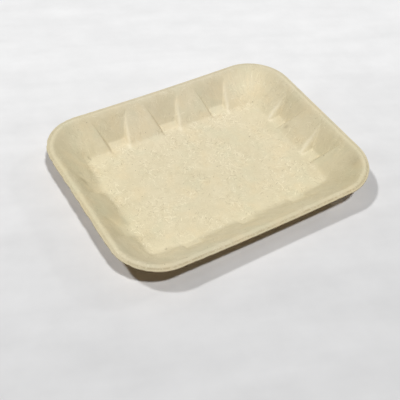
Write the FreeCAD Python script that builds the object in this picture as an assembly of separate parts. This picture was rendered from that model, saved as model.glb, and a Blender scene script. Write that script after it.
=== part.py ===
import FreeCAD, Part
import math
import os

from FreeCAD import Vector

# Disposable food tray: one sheet moulded from plant fibre, with one wall thickness.
# Millimetres, +Z up, +X along the long side. The origin is the centre of the
# underside, on the surface that the tray stands on.

# The whole tray, measured over the rim
trayLength = 229.0
trayWidth = 175.0
trayHeight = 24.5
wallThickness = 1.0

# Floor and side wall, on the food side
floorCornerRadius = 3.0
leadInRun = 3.6         # gentle strip between the flat floor and the side wall
leadInRise = 0.5
wallAngle = 42.5        # degrees above the horizontal
leadInBendRadius = 5.0
wallBendRadius = 3.0

# Rim, from the top of the side wall out to the trimmed lip
rimRiseRun = 1.7
rimRise = 1.0
crownWidth = 1.8
rimFallRun = 1.5
rimFall = 1.1
lipWidth = 1.6
rimFootRadius = 2.0
crownRadius = 1.5
lipCreaseRadius = 1.2

# Pockets pressed outwards in the side walls, which leave ribs between them
cornerLand = 13.6       # plain wall from the end of a corner to the first pocket's top
pocketTopDrop = 2.0     # from the foot of the rim down to the top edge of a pocket
pocketBendRadius = 1.2
longSidePocket = {"count": 3, "reach": 13.2, "backWidth": 13.8, "mouthWidth": 17.4, "topWidth": 28.8}
shortSidePocket = {"count": 2, "reach": 13.7, "backWidth": 10.4, "mouthWidth": 14.6, "topWidth": 25.0}

# Cutting bodies run on into the open tray, so that no two faces only touch
cutOverrun = 1.15
cutHeadroom = 5.0
pointTolerance = 0.001

# Heights of the corners of the food side's section
floorTop = wallThickness
wallFoot = floorTop + leadInRise
rimFoot = trayHeight - rimRise
lipTop = trayHeight - rimFall
pocketTop = rimFoot - pocketTopDrop

# The same corners as distances in from the trimmed edge
crownOuter = lipWidth + rimFallRun
crownInner = crownOuter + crownWidth
rimFootInset = crownInner + rimRiseRun
wallSlope = math.tan(math.radians(wallAngle))
pocketTopInset = rimFootInset + pocketTopDrop / wallSlope
wallFootInset = rimFootInset + (rimFoot - wallFoot) / wallSlope
foldInset = wallFootInset + leadInRun
rimCornerRadius = foldInset + floorCornerRadius

# Straight stretches between the corners
straightLength = trayLength - 2 * rimCornerRadius
straightWidth = trayWidth - 2 * rimCornerRadius

origin = Vector(0, 0, 0)
upwards = Vector(0, 0, 1)


def roundedPath(corners, radii):
    """Wire through the corners, with a tangent arc at each inner one."""
    edges = []
    start = corners[0]
    for before, corner, after, radius in zip(corners, corners[1:], corners[2:], radii):
        toBefore = (before - corner).normalize()
        toAfter = (after - corner).normalize()
        halfAngle = toBefore.getAngle(toAfter) / 2
        inwards = (toBefore + toAfter).normalize()
        arcStart = corner + toBefore * (radius / math.tan(halfAngle))
        arcMiddle = corner + inwards * (radius / math.sin(halfAngle) - radius)
        arcEnd = corner + toAfter * (radius / math.tan(halfAngle))
        edges.append(Part.LineSegment(start, arcStart).toShape())
        edges.append(Part.Arc(arcStart, arcMiddle, arcEnd).toShape())
        start = arcEnd
    edges.append(Part.LineSegment(start, corners[-1]).toShape())
    return Part.Wire(edges)


def foodSidePath():
    """Food side of the sheet in the XZ plane, with X at 0 on the trimmed edge."""
    corners = [
        Vector(-rimCornerRadius, 0, floorTop),
        Vector(-foldInset, 0, floorTop),
        Vector(-wallFootInset, 0, wallFoot),
        Vector(-rimFootInset, 0, rimFoot),
        Vector(-crownInner, 0, trayHeight),
        Vector(-crownOuter, 0, trayHeight),
        Vector(-lipWidth, 0, lipTop),
        Vector(0, 0, lipTop),
    ]
    radii = [leadInBendRadius, wallBendRadius, rimFootRadius, crownRadius, crownRadius, lipCreaseRadius]
    return roundedPath(corners, radii)


def sheetSection():
    """Section of the moulded sheet, one wall thickness down from the food side."""
    return foodSidePath().makeOffset2D(-wallThickness, 2, True, True)


def openSection():
    """Section of the open space above the food side."""
    ceiling = trayHeight + cutHeadroom
    lid = Part.makePolygon([
        Vector(0, 0, lipTop),
        Vector(0, 0, ceiling),
        Vector(-rimCornerRadius, 0, ceiling),
        Vector(-rimCornerRadius, 0, floorTop),
    ])
    return Part.Face(Part.Wire(foodSidePath().Edges + lid.Edges))


def carriedRound(section, bottom, top):
    """The section run along the four sides and turned at the corners, round a middle block."""
    corner = Vector(-straightLength / 2, -straightWidth / 2, bottom)
    middle = Part.makeBox(straightLength, straightWidth, top - bottom, corner)
    runs = [(straightWidth, trayLength / 2), (straightLength, trayWidth / 2)] * 2
    turnCentres = [(1, 1), (-1, 1), (-1, -1), (1, -1)]
    pieces = []
    for quarter, ((run, reach), (signX, signY)) in enumerate(zip(runs, turnCentres)):
        side = section.translated(Vector(reach, -run / 2, 0)).extrude(Vector(0, run, 0))
        turn = section.translated(Vector(rimCornerRadius, 0, 0)).revolve(origin, upwards, 90)
        side.rotate(origin, upwards, 90 * quarter)
        turn.rotate(origin, upwards, 90 * quarter)
        turn.translate(Vector(signX * straightLength / 2, signY * straightWidth / 2, 0))
        pieces += [side, turn]
    return middle.fuse(pieces).removeSplitter()


def pocketSpace(pocket):
    """Space of one pocket in the wall on the +Y side, with Y at 0 on the trimmed edge."""
    points = []
    for side in (-0.5, 0.5):
        back = Vector(side * pocket["backWidth"], pocket["reach"] - foldInset, floorTop)
        mouth = Vector(side * pocket["mouthWidth"], -foldInset, floorTop)
        top = Vector(side * pocket["topWidth"], -pocketTopInset, pocketTop)
        points += [back, back + (mouth - back) * cutOverrun, back + (top - back) * cutOverrun]
    backL, mouthL, topL, backR, mouthR, topR = points
    loops = [
        (mouthL, backL, backR, mouthR),
        (backL, topL, topR, backR),
        (mouthL, mouthR, topR, topL),
        (mouthL, topL, backL),
        (mouthR, backR, topR),
    ]
    faces = [Part.Face(Part.makePolygon([*loop, loop[0]])) for loop in loops]
    space = Part.Solid(Part.Shell(faces))
    rounded = [edge for edge in space.Edges if touches(edge, backL) or touches(edge, backR)]
    return space.makeFillet(pocketBendRadius, rounded)


def touches(edge, point):
    return any(vertex.Point.isEqual(point, pointTolerance) for vertex in edge.Vertexes)


def pocketSkin(space):
    """The pocket's space grown by the wall thickness, up to the pocket's top edge."""
    grown = space.makeOffsetShape(wallThickness, pointTolerance)
    bounds = grown.BoundBox
    corner = Vector(bounds.XMin, bounds.YMin, 0)
    return grown.common(Part.makeBox(bounds.XLength, bounds.YLength, pocketTop, corner))


def sideRow(body, pocket, straight, halfSpan, turn):
    """Copies of a pocket body at even steps along the side that a turn brings it to."""
    count = pocket["count"]
    firstToLast = straight - 2 * cornerLand - pocket["topWidth"]
    row = []
    for index in range(count):
        place = Vector((index / (count - 1) - 0.5) * firstToLast, halfSpan, 0)
        copy = body.translated(place)
        copy.rotate(origin, upwards, turn)
        row.append(copy)
    return row


def allSides(longBody, shortBody):
    rows = []
    for turn in (0, 180):
        rows += sideRow(longBody, longSidePocket, straightLength, trayWidth / 2, turn)
        rows += sideRow(shortBody, shortSidePocket, straightWidth, trayLength / 2, turn - 90)
    return rows


def makeTray():
    sheet = carriedRound(sheetSection(), 0, floorTop)
    openSpace = carriedRound(openSection(), floorTop, trayHeight + cutHeadroom)
    longSpace = pocketSpace(longSidePocket)
    shortSpace = pocketSpace(shortSidePocket)
    skins = [skin.cut(openSpace) for skin in allSides(pocketSkin(longSpace), pocketSkin(shortSpace))]
    return sheet.fuse(skins).cut(allSides(longSpace, shortSpace)).removeSplitter()


os.makedirs("parts", exist_ok=True)
tray = makeTray().Solids[0]
tray.exportStep("parts/tray.step")
print("tray", len(tray.Faces), "faces", round(tray.Volume), "mm3", tray.optimalBoundingBox(False, False))
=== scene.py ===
import math

import bmesh
import bpy
from mathutils import Matrix, Vector, noise


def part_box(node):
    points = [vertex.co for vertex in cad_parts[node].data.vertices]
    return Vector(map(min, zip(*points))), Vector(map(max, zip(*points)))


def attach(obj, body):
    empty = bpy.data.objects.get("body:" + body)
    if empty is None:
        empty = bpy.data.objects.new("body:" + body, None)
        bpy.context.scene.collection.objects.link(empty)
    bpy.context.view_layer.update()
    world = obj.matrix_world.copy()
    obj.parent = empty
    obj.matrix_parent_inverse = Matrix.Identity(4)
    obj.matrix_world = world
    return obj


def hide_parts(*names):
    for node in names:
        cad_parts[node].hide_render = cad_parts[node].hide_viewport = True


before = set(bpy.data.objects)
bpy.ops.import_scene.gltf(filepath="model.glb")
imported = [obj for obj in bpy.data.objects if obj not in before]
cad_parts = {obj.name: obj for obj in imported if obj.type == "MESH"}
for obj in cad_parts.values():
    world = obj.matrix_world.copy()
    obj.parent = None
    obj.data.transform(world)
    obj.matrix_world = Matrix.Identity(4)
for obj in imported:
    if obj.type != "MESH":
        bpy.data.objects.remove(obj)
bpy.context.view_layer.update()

mm = 0.001
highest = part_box("tray")[1]
halfLength = highest.x / mm
halfWidth = highest.y / mm

# the camera looks down on the tray from beyond its front left corner; degrees and metres
cameraPlace = {
    "azimuth": -36.15,      # round from the front
    "elevation": 47.41,
    "roll": 6.33,
    "distance": 0.5225,
    "target": (-0.03461, -0.04181, 0.02402),
    "lens": 63.0,
    "nearest": 0.01,
}


def placeCamera(place):
    turn = math.radians(place["azimuth"])
    lift = math.radians(place["elevation"])
    roll = math.radians(place["roll"])
    back = Vector((math.sin(turn) * math.cos(lift), -math.cos(turn) * math.cos(lift), math.sin(lift)))
    right = Vector((0, 0, 1)).cross(back).normalized()
    up = back.cross(right)
    rolledRight = right * math.cos(roll) + up * math.sin(roll)
    rolledUp = up * math.cos(roll) - right * math.sin(roll)
    cameraData = bpy.data.cameras.new("camera")
    cameraData.lens = place["lens"]
    cameraData.clip_start = place["nearest"]
    camera = bpy.data.objects.new("camera", cameraData)
    bpy.context.scene.collection.objects.link(camera)
    spot = Vector(place["target"]) + back * place["distance"]
    turned = Matrix((rolledRight, rolledUp, back)).transposed().to_4x4()
    camera.matrix_world = Matrix.Translation(spot) @ turned
    bpy.context.scene.camera = camera


placeCamera(cameraPlace)
print("camera placed")

# the moulded sheet, in millimetres
traySizes = {
    "thickness": 1.0,
    "cornerRadius": 37.2,   # of the outer edge
    # section from the trimmed edge inwards: distance in, height, softness of the bend there
    "section": [
        (0.0, 23.4, 0.0),
        (1.6, 23.4, 0.5),
        (3.1, 24.5, 0.6),
        (4.9, 24.5, 0.6),
        (6.6, 23.5, 0.7),
        (30.6, 1.5, 0.8),
        (34.2, 1.0, 1.2),
    ],
    "creaseHalf": 0.4,      # half the width of a crease between two flat faces
    "cornerCuts": 32,
    "columnStep": 1.4,      # length of the mesh's faces along the sides
    "ringStep": 1.2,        # and up the walls
    "rimStep": 0.3,         # and over the rim
    "nearly": 0.1,          # places closer than this are one
    "snap": 0.02,           # a cut takes a corner that it passes more closely than this
    # how the walls stray from that section; a pair says where a change starts and where it is full
    "stray": {
        "softSide": (-0.3, 0.5),    # the front and the left are softer than the back and the right
        "softFoot": 1.6,            # added there to the bend at the wall's foot
        "frontShift": 1.2,          # the front wall is a little steeper than the others
        "frontSide": (0.2, 0.9),
        "frontEnds": (1.1, 0.6),
        "backShift": -0.9,          # and those at the back and the right are a little flatter
        "backSide": (0.2, 0.9),
        "rightShift": -1.1,
        "rightSide": (0.4, 0.95),
        "footWander": 1.1,
        "wanderLength": 8.0,
        "crispWander": 0.35,        # share of the wander along the back and the right
        "wanderUpWall": (9, 28),
        "beadWander": 0.9,          # of the bend inside the rim along the front and the left
        "beadLength": 6.0,
        "beadOuter": (3, 6),
        "beadInner": (14, 8),
    },
}

# pockets pressed outwards in each side; their floors run level and then scoop up to the back
# widths at the mouth, at the foot of the back and at the top, and how high the top lies
longPocket = {"mouth": 17.4, "back": 15.6, "top": 31.5, "topHeight": 21.5}
shortPocket = {"mouth": 13.4, "back": 10.8, "top": 27.5, "topHeight": 21.5}
slackLong = {"mouth": 15.4, "back": 12.6, "top": 22.0, "topHeight": 14.5}
slackShort = {"mouth": 14.0, "back": 10.8, "top": 23.0, "topHeight": 19.0}
# how soft the bends are, and the painted shade (below 0) or painted light on the pocket's back and
# floor
crisp = {"softness": 0.35, "ribSoftness": 2.2, "backTone": -0.02, "floorTone": 0.02}
slack = {"softness": 1.3, "ribSoftness": 4.0, "backTone": 0.06, "floorTone": 0}
# quarter turns to the side, middles of the pockets along it, and where back and scoop start;
# in the crisp rows one long edge of each pocket has painted highlight (paleHand says which), the other
# painted shade
pocketRows = {
    "back": {
        "turn": 0, "places": (-50.8, -1.2, 48.5), "backInset": 23.0, "backRise": 2.2,
        "scoopInset": 27.5, "paleHand": 1, "pale": 1.0, "paleWidth": 1.2, "paleSpread": 0.2,
        "paleShift": 0, "dark": -0.7, "tip": 37, **longPocket, **crisp,
    },
    "left": {
        "turn": 1, "places": (-28.0, 20.8), "backInset": 21.0, "backRise": 5.5,
        "scoopInset": 28.6, "paleHand": 0, **slackShort, **slack,
    },
    "front": {
        "turn": 2, "places": (-47.3, 1.6, 51.0), "backInset": 24.0, "backRise": 2.6,
        "scoopInset": 28.8, "paleHand": 0, **slackLong, **slack, "backTone": 0.10, "floorTone": 0.03,
    },
    "right": {
        "turn": 3, "places": (-22.9, 25.5), "backInset": 21.0, "backRise": 2.4,
        "scoopInset": 27.0, "paleHand": -1, "pale": 1.35, "paleWidth": 1.6, "paleSpread": 0.8,
        "paleShift": -0.2, "dark": -0.12, "tip": 33.5, **shortPocket, **crisp, "softness": 0.65,
    },
}
pocketMargin = 2.0      # how far past its edges a pocket's soft bends reach
pocketShare = 0.6       # and how far along the side, in widths of its top

cornerRadius = traySizes["cornerRadius"]
straightX = halfLength - cornerRadius
straightY = halfWidth - cornerRadius
section = traySizes["section"]
rimFoot, wallFoot, fold = section[-3:]
foldInset, floorTop = fold[:2]


def smoothStep(value, start, end):
    share = min(max((value - start) / (end - start), 0), 1)
    return share * share * (3 - 2 * share)


def softRamp(distance, softness):
    # nought before the bend and rising at one in one after it, with a rounded start
    if distance <= -softness:
        return 0.0
    if distance >= softness:
        return distance
    return (distance + softness) ** 2 / (4 * softness)


def softMax(first, second, softness):
    return second + softRamp(first - second, softness)


def softMin(first, second, softness):
    return -softMax(-first, -second, softness)


def rippleAt(x, y, layer, length, finer=1):
    # a smooth ripple, below and above 0; each layer has its own
    return noise.noise(Vector((x, y, layer)) / length * finer)


def slopeOf(first, second):
    return (second[1] - first[1]) / (second[0] - first[0])


def sectionBends():
    # for each bend the distance in, the change of slope and a softness that is never quite nothing
    bends = []
    slopeBefore = 0.0
    for here, following in zip(section, section[1:] + [(foldInset + 1, floorTop, 0)]):
        slopeAfter = slopeOf(here, following)
        bends.append((here[0], slopeAfter - slopeBefore, max(here[2], 1e-6)))
        slopeBefore = slopeAfter
    return bends


bends = sectionBends()


def insetAt(x, y):
    # distance in from the outer edge
    outX = max(abs(x) - straightX, 0)
    outY = max(abs(y) - straightY, 0)
    return cornerRadius - math.hypot(outX, outY)


def sheetHeight(inset):
    rises = (change * softRamp(inset - start, softness) for start, change, softness in bends)
    return section[0][1] + sum(rises)


def insetAtHeight(height):
    return rimFoot[0] + (rimFoot[1] - height) / -slopeOf(rimFoot, wallFoot)


for row in pocketRows.values():
    row["topInset"] = insetAtHeight(row["topHeight"])   # where the pocket's back runs out of the wall


def pocketHeights(row, along, inset):
    # the pocket's own floor, scoop and back, and its two sides, as if each ran on past its edges
    height = row["topHeight"] - floorTop
    backInset, rise = row["backInset"], row["backRise"]
    backSlope = (height - rise) / (backInset - row["topInset"])
    scoopSlope = rise / (row["scoopInset"] - backInset)
    backHeight = rise + backSlope * (backInset - inset)
    scoopHeight = scoopSlope * (row["scoopInset"] - inset)
    soft = row["softness"]
    dug = softMax(backHeight, softMax(scoopHeight, 0, 2 * soft), soft)
    reach, depth = foldInset - backInset, foldInset - row["topInset"]
    narrowing = (row["mouth"] - row["back"]) / 2
    widening = (row["top"] - row["mouth"]) / 2
    across = (height - rise * depth / reach) / (widening + narrowing * depth / reach)
    outwards = (rise + across * narrowing) / reach
    side = across * (abs(along) - row["mouth"] / 2) + outwards * (foldInset - inset)
    return floorTop + dug, floorTop + side


def ontoSide(turn, x, y):
    # turns a point so that the side looked at lies towards +Y
    for _ in range(turn):
        x, y = y, -x
    return x, y


def offSide(turn, x, y):
    for _ in range(turn):
        x, y = -y, x
    return x, y


def sideReach(row):
    return (halfWidth, halfLength)[row["turn"] % 2]


def wallInset(x, y, softer):
    # the distance in from the edge, stretched so that the wall's foot wanders
    stray = traySizes["stray"]
    inset = insetAt(x, y)
    front = stray["frontShift"] * smoothStep(-y / straightY, *stray["frontSide"])
    front *= smoothStep(abs(x) / straightX, *stray["frontEnds"])
    back = stray["backShift"] * smoothStep(y / straightY, *stray["backSide"])
    right = stray["rightShift"] * smoothStep(x / straightX, *stray["rightSide"])
    wander = rippleAt(x, y, 21.0, stray["wanderLength"])
    wander *= stray["footWander"] * (stray["crispWander"] + (1 - stray["crispWander"]) * softer)
    foot = (front + min(back, right) + wander) * smoothStep(inset, *stray["wanderUpWall"])
    bead = rippleAt(x, y, 70.0, stray["beadLength"]) * softer * stray["beadWander"]
    bead *= smoothStep(inset, *stray["beadOuter"]) * smoothStep(inset, *stray["beadInner"])
    return inset + bead + foot


def foodSideHeight(x, y):
    stray = traySizes["stray"]
    softer = smoothStep(-x / straightX - y / straightY, *stray["softSide"])
    inset = wallInset(x, y, softer)
    height = sheetHeight(inset)
    if softer > 0:
        footInset, footChange, footSoftness = bends[-2]
        pastFoot = inset - footInset
        spread = footSoftness + softer * stray["softFoot"]
        height += footChange * (softRamp(pastFoot, spread) - softRamp(pastFoot, footSoftness))
    for row in pocketRows.values():
        sideX, sideY = ontoSide(row["turn"], x, y)
        inset = sideReach(row) - sideY
        if not row["topInset"] - pocketMargin < inset < foldInset + pocketMargin:
            continue
        for place in row["places"]:
            if abs(sideX - place) < row["top"] * pocketShare:
                dug, side = pocketHeights(row, sideX - place, inset)
                dug = softMin(height, dug, row["softness"])
                side = softMin(height, side, row["ribSoftness"])
                height = max(softMax(dug, side, row["softness"]), floorTop)
    return height


def outline(bm):
    # a plate with round corners, its long edges cut into short steps
    bmesh.ops.create_grid(bm, x_segments=1, y_segments=1, size=0.5)
    bmesh.ops.scale(bm, vec=(2 * halfLength, 2 * halfWidth, 1), verts=bm.verts)
    bmesh.ops.bevel(
        bm, geom=bm.verts[:], offset=cornerRadius, segments=traySizes["cornerCuts"],
        profile=0.5, affect="VERTICES", material=-1,
    )
    for length in (2 * straightX, 2 * straightY):
        edges = [edge for edge in bm.edges if abs(edge.calc_length() - length) < traySizes["nearly"]]
        cuts = round(length / traySizes["columnStep"]) - 1
        bmesh.ops.subdivide_edges(bm, edges=edges, cuts=cuts)


def ringInsets():
    # where the rings lie: close together at the rim and at each bend, wider on the wall
    half = traySizes["creaseHalf"]
    stops = {0.0, cornerRadius, pocketRows["back"]["topInset"]}
    stops.update(corner[0] for corner in section)
    for row in pocketRows.values():
        stops.update((row["backInset"], row["scoopInset"]))
    creases = [rimFoot[0], wallFoot[0], foldInset] + [row["backInset"] for row in pocketRows.values()]
    for inset in creases:
        stops.update((inset - half, inset + half))
    stops = sorted(stops)
    rings = []
    for start, end in zip(stops, stops[1:]):
        step = traySizes["rimStep"] if end <= rimFoot[0] else traySizes["ringStep"]
        count = max(1, round((end - start) / step))
        rings += [start + (end - start) * index / count for index in range(1, count + 1)]
    return rings


def cutPocketCreases(bm, row, place):
    # cuts the plan beside each crease of the pocket, so that its flat faces stay flat
    reach = sideReach(row)
    alongLimit = row["top"] / 2 + pocketMargin
    insetLimits = row["topInset"] - pocketMargin / 2, foldInset + pocketMargin / 2
    window = []
    for face in bm.faces:
        centre = face.calc_center_median()
        sideX, sideY = ontoSide(row["turn"], centre.x, centre.y)
        if abs(sideX - place) < alongLimit and insetLimits[0] < reach - sideY < insetLimits[1]:
            window.append(face)
    for hand in (-1, 1):
        mouth = Vector((place + hand * row["mouth"] / 2, reach - foldInset))
        back = Vector((place + hand * row["back"] / 2, reach - row["backInset"]))
        top = Vector((place + hand * row["top"] / 2, reach - row["topInset"]))
        for start, end in ((mouth, back), (mouth, top), (back, top)):
            across = Vector((end.y - start.y, start.x - end.x)).normalized()
            for offset in (-1, 1):
                spot = start + across * offset * traySizes["creaseHalf"]
                faces = [face for face in window if face.is_valid]
                edges = list({edge for face in faces for edge in face.edges})
                verts = list({vert for face in faces for vert in face.verts})
                made = bmesh.ops.bisect_plane(
                    bm, geom=faces + edges + verts, dist=traySizes["snap"],
                    plane_co=(*offSide(row["turn"], *spot), 0),
                    plane_no=(*offSide(row["turn"], *across), 0),
                )
                window = [item for item in made["geom"] if isinstance(item, bmesh.types.BMFace)]


def planMesh():
    # the walls are rings set in from the outline, and the floor is a grid that meets them
    bm = bmesh.new()
    outline(bm)
    inner = bm.faces[:]
    done = 0.0
    for inset in ringInsets():
        bmesh.ops.inset_region(
            bm, faces=inner, thickness=inset - done, use_even_offset=True, use_boundary=True,
        )
        done = inset
    bmesh.ops.delete(bm, geom=inner, context="FACES")
    bmesh.ops.remove_doubles(bm, verts=bm.verts, dist=traySizes["nearly"] / 2)
    columns = round(2 * straightX / traySizes["columnStep"])
    rows = round(2 * straightY / traySizes["columnStep"])
    made = bmesh.ops.create_grid(bm, x_segments=columns, y_segments=rows, size=0.5)
    bmesh.ops.scale(bm, vec=(2 * straightX, 2 * straightY, 1), verts=made["verts"])
    poleReach = 0.4 * traySizes["columnStep"]
    for signX in (-1, 1):
        for signY in (-1, 1):
            pole = Vector((signX * straightX, signY * straightY, 0))
            near = [vert for vert in bm.verts if (vert.co - pole).length < poleReach]
            bmesh.ops.pointmerge(bm, verts=near, merge_co=pole)
    bmesh.ops.remove_doubles(bm, verts=bm.verts, dist=traySizes["nearly"])
    for row in pocketRows.values():
        for place in row["places"]:
            cutPocketCreases(bm, row, place)
    return bm


bm = planMesh()
print("plan", len(bm.verts), len(bm.faces), "open edges", sum(edge.is_boundary for edge in bm.edges))

# how the sheet has warped and rippled since it was moulded
warp = {
    "sag": {"front": 3.3, "back": 1.9},     # of the middles of the two long sides
    "sagAcross": (0.5, 1),                  # shares of the half width where it starts and is full
    "twist": 0.9,
    "twistLower": 0.8,                      # in twists, so that no corner rises
    "full": 27.5,                           # height at which sag and twist would be full
    "ripple": 0.22,                         # of the wall
    "floorRipple": 0.05,
    "rippleClimb": 5,                       # height over the floor at which it is the wall's
    "rippleLength": 26.0,
    "fineRipple": (0.5, 2.3),               # how strong and how much finer a second one is
    "rippleLower": 0.6,                     # in ripples, so that the wall hardly rises
    "rippleIn": (0, 4),                     # and none at the trimmed edge
    "edgeWobble": (0.12, 0.48),             # of the trimmed edge, inwards only, right and left
    "wobbleLeft": (0.5, 1.3),
    "wobbleLength": 4.5,
    "wobbleSpan": (-0.1, 0.5),
    "wobbleReach": (3.0, 0),
}


def warpDrop(x, y, height):
    share = smoothStep(height, floorTop, warp["full"])
    along = x / halfLength
    across = y / halfWidth
    middle = math.cos(along * math.pi / 2) * smoothStep(abs(across), *warp["sagAcross"])
    twisted = warp["twist"] * (warp["twistLower"] - along * across)
    return share * (warp["sag"]["back" if y > 0 else "front"] * middle + twisted)


def warpedPoint(co):
    x, y = co.x, co.y
    inset = insetAt(x, y)
    height = foodSideHeight(x, y)
    climb = smoothStep(height, floorTop, floorTop + warp["rippleClimb"])
    strength, finer = warp["fineRipple"]
    ripple = rippleAt(x, y, 3.0, warp["rippleLength"])
    ripple += strength * rippleAt(x, y, 40.0, warp["rippleLength"], finer)
    amount = warp["floorRipple"] + (warp["ripple"] - warp["floorRipple"]) * climb
    height += amount * (ripple - warp["rippleLower"]) * smoothStep(inset, *warp["rippleIn"])
    height -= warpDrop(x, y, height)
    least, most = warp["edgeWobble"]
    pull = least + (most - least) * smoothStep(-x / straightX, *warp["wobbleLeft"])
    pull *= smoothStep(inset, *warp["wobbleReach"])
    pull *= smoothStep(rippleAt(x, y, 9.0, warp["wobbleLength"]), *warp["wobbleSpan"])
    keep = 1 - pull / max(math.hypot(x, y), 1)
    return Vector((x * keep, y * keep, max(height, floorTop)))


# what the fibre's material is told at each place; most are spots with a middle, a radius and an amount
toneLook = {
    # how much darker (below 0) or paler the wall is
    "wall": (
        ((103, -45), 30, -0.09), ((103, 0), 30, -0.09), ((103, 45), 30, -0.08),
        ((98, 50), 14, -0.05), ((92, -70), 30, -0.12), ((84, 68), 24, 0.17),
        ((25, 76), 30, 0.01), ((-70, 76), 28, -0.005),
        ((-96, 70), 26, -0.06), ((-103, 45), 30, -0.02), ((-103, 0), 30, -0.03),
        ((-103, -45), 30, -0.05), ((-25, -76), 30, -0.025), ((25, -76), 30, -0.03),
        ((60, -76), 28, -0.06),
    ),
    "wholeWall": -0.015,
    # and darker and paler spots, wherever they are
    "spotsAnywhere": (
        ((-98, 26), 3.6, -0.20), ((-97, 34.5), 2.2, -0.08), ((-79, 55.2), 1.3, -0.30),
        ((-80, 56.6), 1.0, -0.25), ((-70, -55.5), 1.1, -0.45), ((-78, -41), 11, -0.07),
        ((-78, -4), 11, -0.05), ((-96, -27), 9, 0.07), ((103, -60), 6.5, -0.12),
        ((87.9, 10.6), 1.5, -0.30), ((86, -68), 9.0, -0.05),
    ),
    # how much warmer (above 0) or cooler
    "warmSpots": (
        ((-103, 40), 40, 0.035), ((-103, -20), 40, 0.035), ((92, -74), 20, 0.035),
        ((103, -35), 25, 0.02), ((0, -80), 45, 0.02), ((60, -80), 40, 0.02),
        ((-20, 78), 45, -0.035), ((50, 78), 50, -0.035),
    ),
    # and where the sheet has wrinkled up the wall
    "wrinkles": (
        ((86, 68), 30, 1.0), ((104, -42), 16, 0.9), ((-74, 76), 14, 0.6), ((104, 40), 14, 0.5),
    ),
    "spotFall": 1.5,            # how steeply all these fade towards their radius
    "tint": (0.95, 1.0, 1.1),   # what is darker is a little warmer too
    # distances in from the edge between which tones come and go
    "onFloor": 0.35,            # share of the wall's tones that goes on over the floor
    "wallFoot": (33, 27),
    "rim": (4.5, 8),
    "pocketTop": 4,
    "pocketSide": (0.6, -0.6),  # these count from the pocket's own edges
    "backFoot": (0.8, -0.8),
    "backTop": (0, 6),
    "floorBack": (-0.6, 0.8),
    "floorMouth": (0, -4),
    # painted highlight along one long edge of a pocket and painted shade along the other
    "edgeLightShade": {
        "paleOffset": 1.1,      # how far inside the edge the stripes lie
        "darkOffset": 0.7,
        "darkWidth": 1.0,
        "topEnd": 20,
        "tipEnd": (0.8, -4),    # from the row's tip
        "spread": (20, 26),
        "shift": (19, 24),
        "shiftEnd": (34, 28),
    },
}


def spotSum(name, x, y):
    amountHere = 0.0
    for (middleX, middleY), radius, amount in toneLook[name]:
        away = (x - middleX) ** 2 + (y - middleY) ** 2
        amountHere += amount * math.exp(-away / radius ** 2 * toneLook["spotFall"])
    return amountHere


def toneAt(x, y):
    # how much darker (below 0) or paler the sheet is here
    look = toneLook
    inset = insetAt(x, y)
    wall = look["onFloor"] + (1 - look["onFloor"]) * smoothStep(inset, *look["wallFoot"])
    wall *= smoothStep(inset, *look["rim"])
    tone = (spotSum("wall", x, y) + look["wholeWall"]) * wall + spotSum("spotsAnywhere", x, y)
    for row in pocketRows.values():
        sideX, sideY = ontoSide(row["turn"], x, y)
        inset = sideReach(row) - sideY
        if not row["topInset"] < inset < foldInset:
            continue
        fromBack = inset - row["backInset"]
        backs = smoothStep(fromBack, *look["backFoot"])
        backs *= smoothStep(inset - row["topInset"], *look["backTop"])
        floors = smoothStep(fromBack, *look["floorBack"])
        floors *= smoothStep(inset - foldInset, *look["floorMouth"])
        widening = (row["top"] - row["back"]) / 2
        half = row["back"] / 2 + widening * smoothStep(inset, row["backInset"], look["pocketTop"])
        # painted light and shade on the backs and floors of the pockets
        for place in row["places"]:
            inside = smoothStep(abs(sideX - place) - half, *look["pocketSide"])
            tone += inside * (row["backTone"] * backs + row["floorTone"] * floors)
    return tone


def rimPoint(x, y):
    # the nearest place on the outer edge, which runs smoothly round the tray
    poleX = min(max(x, -straightX), straightX)
    poleY = min(max(y, -straightY), straightY)
    away = Vector((x - poleX, y - poleY, 0))
    if away.length < 0.001:     # on the floor any way out will do
        away = Vector((x, y, 0)) if x or y else Vector((1, 0, 0))
    return Vector((poleX, poleY, 0)) + away.normalized() * cornerRadius


def paintEdgeLight(x, y):
    # how much painted highlight (above 0) or painted shade (below 0) lies along the long edges of a
    # pocket
    edgeLightShade = toneLook["edgeLightShade"]
    amount = 0.0
    for row in pocketRows.values():
        if not row["paleHand"]:
            continue
        sideX, sideY = ontoSide(row["turn"], x, y)
        inset = sideReach(row) - sideY
        if not row["topInset"] < inset < row["tip"] + edgeLightShade["tipEnd"][0]:
            continue
        flare = (row["top"] - row["mouth"]) / 2 / (foldInset - row["topInset"])
        edge = row["mouth"] / 2 + flare * (foldInset - inset)
        reach = smoothStep(inset, row["topInset"], edgeLightShade["topEnd"])
        reach *= smoothStep(inset - row["tip"], *edgeLightShade["tipEnd"])
        paleWidth = row["paleWidth"] * (1 + row["paleSpread"] * smoothStep(inset, *edgeLightShade["spread"]))
        paleShift = row["paleShift"] * smoothStep(inset, *edgeLightShade["shift"])
        paleShift *= smoothStep(inset, *edgeLightShade["shiftEnd"])
        for hand, strength, width, offset in (
            (row["paleHand"], row["pale"], paleWidth, edgeLightShade["paleOffset"] + paleShift),
            (-row["paleHand"], row["dark"], edgeLightShade["darkWidth"], edgeLightShade["darkOffset"]),
        ):
            for place in row["places"]:
                spread = (edge - hand * (sideX - place) - offset) / width
                amount += strength * reach * math.exp(-spread * spread)
    return amount


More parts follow.
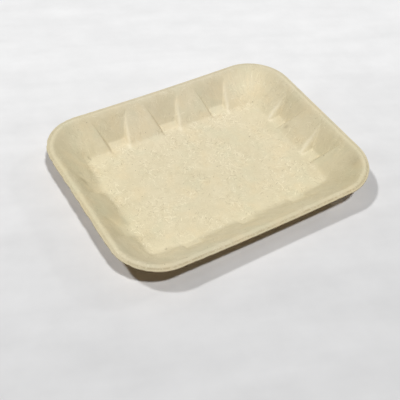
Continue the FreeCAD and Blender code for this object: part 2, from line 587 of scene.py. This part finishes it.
def paintLayers(bm):
    # keeps at each corner of the mesh what the fibre's material reads there
    layers = bm.verts.layers
    inset = layers.float.new("inset")
    tones = layers.float_vector.new("tone")
    paintedEdgeLight = layers.float.new("edgeLightShade")
    wrinkled = layers.float.new("wrinkle")
    rim = layers.float_vector.new("rimPoint")
    for vert in bm.verts:
        x, y = vert.co.x, vert.co.y
        tone = toneAt(x, y)
        red, green, blue = (tone * share for share in toneLook["tint"])
        vert[inset] = insetAt(x, y)
        vert[tones] = (red, green, blue - spotSum("warmSpots", x, y))
        # painted highlight and shade along the pocket edges
        vert[paintedEdgeLight] = paintEdgeLight(x, y)
        vert[wrinkled] = spotSum("wrinkles", x, y)
        vert[rim] = rimPoint(x, y)


paintLayers(bm)
for vert in bm.verts:
    vert.co = warpedPoint(vert.co)
bmesh.ops.recalc_face_normals(bm, faces=bm.faces)
if sum(face.normal.z for face in bm.faces) < 0:
    bmesh.ops.reverse_faces(bm, faces=bm.faces)
bmesh.ops.solidify(bm, geom=bm.faces[:], thickness=traySizes["thickness"])
for vert in bm.verts:
    vert.co.z = max(vert.co.z, 0)   # nothing lies below the underside
bmesh.ops.scale(bm, vec=(mm, mm, mm), verts=bm.verts)
print("solid", len(bm.verts), len(bm.faces), "triangles", sum(len(face.verts) - 2 for face in bm.faces),
      "open edges", sum(not edge.is_manifold for edge in bm.edges))

mesh = bpy.data.meshes.new("fibreTray")
bm.to_mesh(mesh)
bm.free()
for polygon in mesh.polygons:
    polygon.use_smooth = True
trayPiece = bpy.data.objects.new("fibreTray", mesh)
bpy.context.scene.collection.objects.link(trayPiece)
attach(trayPiece, "root")
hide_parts("tray")

# the moulded fibre; lengths in millimetres, and a span is where something starts and where it is full
fibreLook = {
    "deep": (0.715, 0.632, 0.430, 1),
    "light": (0.792, 0.710, 0.504, 1),
    # pale also paints the highlight on pocket edges; brown, beside dark fibres, paints shade on pocket
    # edges and rim
    "pale": (0.905, 0.825, 0.618, 1),
    "brown": (0.420, 0.330, 0.185, 1),
    "speck": (0.200, 0.140, 0.075, 1),
    "under": (0.69, 0.56, 0.43, 1),     # how the outer side differs: darker and browner, as painted shade
    "underSpan": (-0.1, -0.5),
    "fineCloud": 0.6,       # shares of the clouds between the deep and the light colour
    "wideCloud": 0.4,
    "cloudSpan": (0.22, 0.78),
    "tints": (
        {"colour": (0.705, 0.665, 0.470, 1), "lumps": {"size": 19, "detail": 3, "seed": 23},
         "span": (0.46, 0.70), "most": 0.48},
        {"colour": (0.800, 0.680, 0.448, 1), "lumps": {"size": 17, "detail": 3, "seed": 37},
         "span": (0.48, 0.70), "most": 0.52},
    ),
    # single fibres of three sizes, and how strongly each shows
    "fibres": (
        ({"Spacing": 2.9, "Length": 3.8, "Width": 0.75, "Seed": 0}, 0.80),
        ({"Spacing": 1.9, "Length": 2.4, "Width": 0.50, "Seed": 53}, 0.55),
        ({"Spacing": 6.0, "Length": 8.0, "Width": 0.50, "Seed": 91}, 0.60),
    ),
    "curl": 0.25,
    "fibreEnds": (0.5, 0.3),
    "fibreSides": (0.5, 0.1),
    "paleSpan": (0.5, 1.0),     # which of them are pale and which dark
    "darkSpan": (0.45, 0.0),
    "paleFibre": 1.25,
    "darkFibre": 0.45,
    "floorSpan": (24, 34),
    "onWall": 0.5,              # share of the fibres there
    "patchSpan": (0.38, 0.62),
    "patchShares": (0.35, 1.50),
    "speckEdge": (0.6, 0.25),
    "specks": (
        ({"Spacing": 3.2, "Size": 0.45, "Share": 0.12, "Seed": 7}, 0.22),
        ({"Spacing": 9.0, "Size": 0.75, "Share": 0.22, "Seed": 71}, 0.45),
    ),
    "unevenHighlightSpan": (0.3, 0.6),   # how unevenly the painted highlight lies along the pocket edges
    "unevenHighlightShares": (0.50, 0.80),
    "shaded": -0.42,
    "level": 0.955,             # of the colour, over which the grain comes
    "grain": 0.09,
    "grainSpan": (0.3, 0.7),
    "roughness": (0.80, 0.94),
    "specular": 0.3,
    "bump": 0.22,
    "bumpDepth": 0.4 * mm,
    "heights": {"fibres": 0.35, "grain": 0.5, "lumps": 0.8, "streaks": 14.0},
    # about how wide the lumps of each noise are, how fine it goes, and its seed
    "noises": {
        "fineCloud": {"size": 7, "detail": 3},
        "wideCloud": {"size": 30, "seed": 5},
        "grain": {"size": 0.9, "seed": 11},
        "patches": {"size": 13, "seed": 19},
        "unevenHighlight": {"size": 2.5, "seed": 43},
        "streaks": {"size": 1.9, "seed": 29},
        "rimWobble": {"size": 3, "seed": 61},
        "brokenCrease": {"size": 1.6, "detail": 1, "seed": 67},
        "lumps": {"size": 3.5, "detail": 3, "seed": 83},
    },
    # streaks and wrinkles up the wall, by the distance in from the edge
    "streaks": {
        "slowness": 0.13, "outer": (6.5, 10), "inner": (33, 27),
        "plain": 0.05, "wrinkled": 0.20,
    },
    # painted shade on the trimmed lip and in a broken crease inside it, and a darker bead
    "rim": {
        "lip": 0.22, "lipSpan": (1.7, 0.9),
        "crease": 0.55, "creaseOuter": (0.7, 1.6), "creaseInner": (2.9, 1.7),
        "brokenSpan": (0.35, 0.6), "brokenShares": (0.25, 1.0),
        "bead": 0.065, "beadSpan": (7.2, 6.2),
        "frontSpan": (-58, -76), "elsewhere": 0.45,     # share of all three away from the front
        # and a little painted shade along the outer edge at the left
        "leftLip": 0.07, "leftSpan": (-85, -104), "leftLipSpan": (3.2, 0.4),
    },
}


def addNode(tree, kind, sockets=None, **settings):
    node = tree.nodes.new(kind)
    for name, value in settings.items():
        setattr(node, name, value)
    for socket, value in (sockets or {}).items():
        if isinstance(value, bpy.types.NodeSocket):
            tree.links.new(value, node.inputs[socket])
        else:
            node.inputs[socket].default_value = value
    return node


def calc(tree, operation, first, second=0.0, clamp=False):
    sockets = {0: first, 1: second}
    return addNode(tree, "ShaderNodeMath", sockets, operation=operation, use_clamp=clamp).outputs[0]


def total(tree, first, *others):
    for other in others:
        first = calc(tree, "ADD", first, other)
    return first


def product(tree, first, *others, clamp=False):
    for other in others[:-1]:
        first = calc(tree, "MULTIPLY", first, other)
    return calc(tree, "MULTIPLY", first, others[-1], clamp)


def move(tree, operation, first, second):
    # adds to, takes from or scales a place
    socket = "Scale" if operation == "SCALE" else 1
    sockets = {0: first, socket: second}
    return addNode(tree, "ShaderNodeVectorMath", sockets, operation=operation).outputs[0]


def fade(tree, value, start, end, low=0.0, high=1.0):
    sockets = {"Value": value, "From Min": start, "From Max": end, "To Min": low, "To Max": high}
    return addNode(tree, "ShaderNodeMapRange", sockets, interpolation_type="SMOOTHSTEP").outputs[0]


def mixColour(tree, share, first, second, blend="MIX"):
    sockets = {0: share, 6: first, 7: second}
    return addNode(tree, "ShaderNodeMix", sockets, data_type="RGBA", blend_type=blend).outputs[2]


def noiseAt(tree, place, size, detail=2, seed=0):
    # lumps about this wide, in the unit of the place
    sockets = {"Vector": place, "W": seed, "Scale": 1.0 / size, "Detail": detail}
    return addNode(tree, "ShaderNodeTexNoise", sockets, noise_dimensions="4D").outputs[0]


def turnFlat(tree, place, angle):
    sockets = {"Vector": place, "Angle": angle}
    return addNode(tree, "ShaderNodeVectorRotate", sockets, rotation_type="Z_AXIS").outputs[0]


def partsOf(tree, place):
    return addNode(tree, "ShaderNodeSeparateXYZ", {0: place}).outputs


def newGroup(name, inputs, outputs):
    tree = bpy.data.node_groups.new(name, "ShaderNodeTree")
    tree.interface.new_socket("Place", in_out="INPUT", socket_type="NodeSocketVector")
    for socketName in inputs:
        tree.interface.new_socket(socketName, in_out="INPUT", socket_type="NodeSocketFloat")
    for socketName in outputs:
        tree.interface.new_socket(socketName, in_out="OUTPUT", socket_type="NodeSocketFloat")
    return tree, tree.nodes.new("NodeGroupInput").outputs, tree.nodes.new("NodeGroupOutput").inputs


def scatter(tree, given):
    # cells of the given spacing: the place counted in cells, the nearest middle and its three chances
    shifted = move(tree, "ADD", given["Place"], given["Seed"])
    cells = move(tree, "SCALE", shifted, calc(tree, "DIVIDE", 1.0, given["Spacing"]))
    sockets = {"Vector": cells, "Scale": 1.0}
    nearest = addNode(tree, "ShaderNodeTexVoronoi", sockets, voronoi_dimensions="2D").outputs
    chances = addNode(tree, "ShaderNodeSeparateColor", {0: nearest["Color"]}).outputs
    return cells, nearest, chances


def makeStrokes():
    # short fibres lying in all directions, one to a cell; Pick says which are pale and which dark
    inputs, outputs = ("Spacing", "Length", "Width", "Seed"), ("Mask", "Pick")
    tree, given, made = newGroup("fibreStrokes", inputs, outputs)
    cells, nearest, chances = scatter(tree, given)
    away = move(tree, "SCALE", move(tree, "SUBTRACT", cells, nearest["Position"]), given["Spacing"])
    parts = partsOf(tree, turnFlat(tree, away, calc(tree, "MULTIPLY", chances[0], 2 * math.pi)))
    curl = product(tree, calc(tree, "SUBTRACT", chances[1], 0.5), fibreLook["curl"])
    bent = total(tree, parts[1], product(tree, parts[0], parts[0], curl))
    alongShare = calc(tree, "DIVIDE", calc(tree, "ABSOLUTE", parts[0]), given["Length"])
    acrossShare = calc(tree, "DIVIDE", calc(tree, "ABSOLUTE", bent), given["Width"])
    ends = fade(tree, alongShare, *fibreLook["fibreEnds"])
    sides = fade(tree, acrossShare, *fibreLook["fibreSides"])
    tree.links.new(product(tree, ends, sides), made["Mask"])
    tree.links.new(chances[2], made["Pick"])
    return tree


def makeSpecks():
    # small round specks of half to one and a half times the size, at some of the cells only
    tree, given, made = newGroup("specks", ("Spacing", "Size", "Share", "Seed"), ("Mask",))
    cells, nearest, chances = scatter(tree, given)
    away = product(tree, nearest["Distance"], given["Spacing"])
    size = product(tree, given["Size"], total(tree, chances[1], 0.5))
    spot = fade(tree, calc(tree, "DIVIDE", away, size), *fibreLook["speckEdge"])
    chosen = calc(tree, "LESS_THAN", chances[0], given["Share"])
    tree.links.new(product(tree, spot, chosen), made["Mask"])
    return tree


fibreStrokes = makeStrokes()
specks = makeSpecks()


def placeGroup(tree, group, place, values):
    return addNode(tree, "ShaderNodeGroup", {"Place": place, **values}, node_tree=group).outputs


def readLayer(tree, name, output):
    return addNode(tree, "ShaderNodeAttribute", attribute_name=name).outputs[output]


def pulpColour(tree, noiseOf, place):
    # cloudy pulp with faint tints
    look = fibreLook
    fine = product(tree, noiseOf("fineCloud"), look["fineCloud"])
    wide = product(tree, noiseOf("wideCloud"), look["wideCloud"])
    cloud = total(tree, fine, wide)
    colour = mixColour(tree, fade(tree, cloud, *look["cloudSpan"]), look["deep"], look["light"])
    for tint in look["tints"]:
        share = fade(tree, noiseAt(tree, place, **tint["lumps"]), *tint["span"], 0, tint["most"])
        colour = mixColour(tree, share, colour, tint["colour"])
    return colour


def addFibres(tree, noiseOf, place, inset, colour):
    # pale and dark fibres, most of them on the floor and in patches, and specks among them
    look = fibreLook
    pale, dark, relief = 0.0, 0.0, 0.0
    for shape, strength in look["fibres"]:
        strokes = placeGroup(tree, fibreStrokes, place, shape)
        mask = product(tree, strokes["Mask"], strength)
        pale = total(tree, pale, product(tree, mask, fade(tree, strokes["Pick"], *look["paleSpan"])))
        dark = total(tree, dark, product(tree, mask, fade(tree, strokes["Pick"], *look["darkSpan"])))
        relief = total(tree, relief, strokes["Mask"])
    onFloor = fade(tree, inset, *look["floorSpan"], look["onWall"], 1.0)
    patches = fade(tree, noiseOf("patches"), *look["patchSpan"], *look["patchShares"])
    density = product(tree, onFloor, patches)
    share = product(tree, pale, look["paleFibre"], density, clamp=True)
    colour = mixColour(tree, share, colour, look["pale"])
    share = product(tree, dark, look["darkFibre"], density, clamp=True)
    colour = mixColour(tree, share, colour, look["brown"])
    for shape, strength in look["specks"]:
        spot = placeGroup(tree, specks, place, shape)["Mask"]
        colour = mixColour(tree, product(tree, spot, strength), colour, look["speck"])
    return colour, relief


def addPaintedEdgeLight(tree, noiseOf, paintedEdgeLight, colour):
    # painted highlight along one side of the pocket edges, unevenly, and painted shade along the other
    look = fibreLook
    unevenHighlight = fade(tree, noiseOf("unevenHighlight"), *look["unevenHighlightSpan"], *look["unevenHighlightShares"])
    colour = mixColour(tree, product(tree, paintedEdgeLight, unevenHighlight, clamp=True), colour, look["pale"])
    return mixColour(tree, product(tree, paintedEdgeLight, look["shaded"], clamp=True), colour, look["brown"])


def wallStreaks(tree, inset, rim, wrinkled):
    # streaks that run up the wall, stronger where the sheet has wrinkled
    look = fibreLook["streaks"]
    upWall = product(tree, inset, look["slowness"])
    upWall = addNode(tree, "ShaderNodeCombineXYZ", {2: upWall}).outputs[0]
    streakPlace = move(tree, "ADD", rim, upWall)
    streak = calc(tree, "SUBTRACT", noiseAt(tree, streakPlace, **fibreLook["noises"]["streaks"]), 0.5)
    amount = total(tree, product(tree, wrinkled, look["wrinkled"]), look["plain"])
    onWall = product(tree, fade(tree, inset, *look["outer"]), fade(tree, inset, *look["inner"]))
    return product(tree, streak, amount, onWall)


def addRim(tree, noiseOf, place, inset, colour, level):
    # painted shade on the lip and in the crease, fullest at the front, a darker bead there, and painted
    # shade at the left edge
    look = fibreLook["rim"]
    wobble = calc(tree, "SUBTRACT", noiseOf("rimWobble"), 0.5)
    ragged = total(tree, inset, wobble)
    parts = partsOf(tree, place)
    atFront = fade(tree, parts[1], *look["frontSpan"], look["elsewhere"], 1.0)
    atLeft = fade(tree, parts[0], *look["leftSpan"], 0, look["leftLip"])
    outer, inner = (fade(tree, ragged, *look[name]) for name in ("creaseOuter", "creaseInner"))
    crease = product(tree, outer, inner)
    broken = fade(tree, noiseOf("brokenCrease"), *look["brokenSpan"], *look["brokenShares"])
    lip = product(tree, fade(tree, ragged, *look["lipSpan"]), look["lip"])
    lip = total(tree, lip, product(tree, crease, broken, look["crease"]))
    colour = mixColour(tree, product(tree, lip, atFront), colour, fibreLook["brown"])
    bead = product(tree, fade(tree, ragged, *look["beadSpan"]), atFront, look["bead"])
    leftLip = product(tree, fade(tree, inset, *look["leftLipSpan"]), atLeft)
    return colour, calc(tree, "SUBTRACT", calc(tree, "SUBTRACT", level, bead), leftLip)


def makeFibre():
    look = fibreLook
    material = bpy.data.materials.new("mouldedFibre")
    material.use_nodes = True
    tree = material.node_tree
    shader = tree.nodes["Principled BSDF"]
    coordinates = addNode(tree, "ShaderNodeTexCoord").outputs
    place = move(tree, "SCALE", coordinates["Object"], 1 / mm)
    inset, paintedEdgeLight, wrinkled = (readLayer(tree, name, "Fac") for name in ("inset", "edgeLightShade", "wrinkle"))
    rim, tone = (readLayer(tree, name, "Vector") for name in ("rimPoint", "tone"))

    def noiseOf(name):
        return noiseAt(tree, place, **look["noises"][name])

    grain = noiseOf("grain")
    colour = pulpColour(tree, noiseOf, place)
    colour, relief = addFibres(tree, noiseOf, place, inset, colour)
    # painted highlight and shade along the pocket edges
    colour = addPaintedEdgeLight(tree, noiseOf, paintedEdgeLight, colour)
    streak = wallStreaks(tree, inset, rim, wrinkled)
    level = total(tree, product(tree, grain, look["grain"]), look["level"])
    colour, level = addRim(tree, noiseOf, place, inset, colour, level)
    shade = move(tree, "ADD", total(tree, level, streak), tone)
    colour = mixColour(tree, 1.0, colour, shade, "MULTIPLY")
    # the outer side darker and browner, as painted shade
    facing = partsOf(tree, coordinates["Normal"])[2]
    colour = mixColour(tree, fade(tree, facing, *look["underSpan"]), colour, look["under"], "MULTIPLY")
    tree.links.new(colour, shader.inputs["Base Color"])

    smoothest, roughest = look["roughness"]
    roughness = fade(tree, grain, *look["grainSpan"], roughest, smoothest)
    tree.links.new(roughness, shader.inputs["Roughness"])
    shader.inputs["Specular IOR Level"].default_value = look["specular"]
    heights = look["heights"]
    height = total(
        tree, product(tree, relief, heights["fibres"]), product(tree, grain, heights["grain"]),
        product(tree, noiseOf("lumps"), heights["lumps"]), product(tree, streak, heights["streaks"]),
    )
    sockets = {"Height": height, "Strength": look["bump"], "Distance": look["bumpDepth"]}
    bump = addNode(tree, "ShaderNodeBump", sockets)
    tree.links.new(bump.outputs[0], shader.inputs["Normal"])
    return material


fibre = makeFibre()
mesh.materials.append(fibre)
print("fibre made")

# a pale sheet under the tray, with painted shade that darkens it a little towards the viewer; lengths
# in metres
floorLook = {
    "size": 3.0,
    "near": (0.727, 0.727, 0.731, 1),
    "far": (0.901, 0.901, 0.903, 1),
    "farTowards": (0.26, 0.97),
    "span": (-0.20, 0.20),
    "cloud": {"size": 0.05, "detail": 3},
    "cloudShift": 0.09,     # how far the change from near to far wanders
    "stretch": (1, 4.5, 1),
    "streakTurn": 20.0,     # degrees
    # faint smudges drawn out along one way, then blotches and grain
    "streaks": ({"size": 0.09, "seed": 3}, 0.16),
    "blotches": ({"size": 0.025, "seed": 8}, 0.10),
    "grain": ({"size": 0.006, "seed": 13}, 0.03),
    "roughness": 0.9,
    "specular": 0.05,
}


def makePaper():
    look = floorLook
    material = bpy.data.materials.new("palePaper")
    material.use_nodes = True
    tree = material.node_tree
    shader = tree.nodes["Principled BSDF"]
    place = addNode(tree, "ShaderNodeTexCoord").outputs["Object"]
    parts = partsOf(tree, place)
    length = math.hypot(*look["farTowards"])
    towardsX, towardsY = (value / length for value in look["farTowards"])
    cloud = calc(tree, "SUBTRACT", noiseAt(tree, place, **look["cloud"]), 0.5)
    far = total(
        tree, product(tree, parts[0], towardsX), product(tree, parts[1], towardsY),
        product(tree, cloud, look["cloudShift"]),
    )
    # painted shade: darker near the viewer, lighter far off
    colour = mixColour(tree, fade(tree, far, *look["span"]), look["near"], look["far"])
    turned = turnFlat(tree, place, math.radians(look["streakTurn"]))
    sockets = {"Vector": turned, "Scale": look["stretch"]}
    drawnOut = addNode(tree, "ShaderNodeMapping", sockets).outputs[0]
    level = 1.0
    for spot, name in ((drawnOut, "streaks"), (place, "blotches"), (place, "grain")):
        lumps, strength = look[name]
        smudge = calc(tree, "SUBTRACT", noiseAt(tree, spot, **lumps), 0.5)
        level = total(tree, level, product(tree, smudge, strength))
    colour = mixColour(tree, 1.0, colour, level, "MULTIPLY")
    tree.links.new(colour, shader.inputs["Base Color"])
    shader.inputs["Roughness"].default_value = look["roughness"]
    shader.inputs["Specular IOR Level"].default_value = look["specular"]
    return material


def addFloor():
    bm = bmesh.new()
    bmesh.ops.create_grid(bm, x_segments=1, y_segments=1, size=floorLook["size"])
    floorMesh = bpy.data.meshes.new("floor")
    bm.to_mesh(floorMesh)
    bm.free()
    floor = bpy.data.objects.new("floor", floorMesh)
    bpy.context.scene.collection.objects.link(floor)
    floorMesh.materials.append(makePaper())


# three lamps, and what the world around adds; softness in degrees across
lamps = {
    "front": {"towards": (-0.010, -0.352, 0.936), "strength": 1.78, "softness": 5.0},
    "back": {"towards": (-0.415, 0.298, 0.860), "strength": 1.36, "softness": 5.0},
    "side": {"towards": (0.840, 0.000, 0.540), "strength": 0.25, "softness": 5.0},
}
worldLight = {"ambient": 0.022, "backdrop": 0.88}


def addLamps():
    for name, lamp in lamps.items():
        lampData = bpy.data.lights.new(name, "SUN")
        lampData.energy = lamp["strength"]
        lampData.angle = math.radians(lamp["softness"])
        hung = bpy.data.objects.new(name, lampData)
        hung.rotation_euler = Vector(lamp["towards"]).to_track_quat("Z", "Y").to_euler()
        bpy.context.scene.collection.objects.link(hung)


def addWorld():
    # dim round light on the tray, and a pale studio wherever it is seen or mirrored
    world = bpy.data.worlds.new("studio")
    world.use_nodes = True
    tree = world.node_tree
    rays = addNode(tree, "ShaderNodeLightPath").outputs
    seen = calc(tree, "MAXIMUM", rays["Is Camera Ray"], rays["Is Glossy Ray"])
    seen = calc(tree, "MAXIMUM", seen, rays["Is Transmission Ray"])
    background = tree.nodes["Background"]
    background.inputs["Color"].default_value = (1, 1, 1, 1)
    strength = fade(tree, seen, 0, 1, worldLight["ambient"], worldLight["backdrop"])
    tree.links.new(strength, background.inputs["Strength"])
    bpy.context.scene.world = world


addFloor()
addLamps()
addWorld()
bpy.context.scene.view_settings.view_transform = "Standard"
print("floor, lamps and world made")
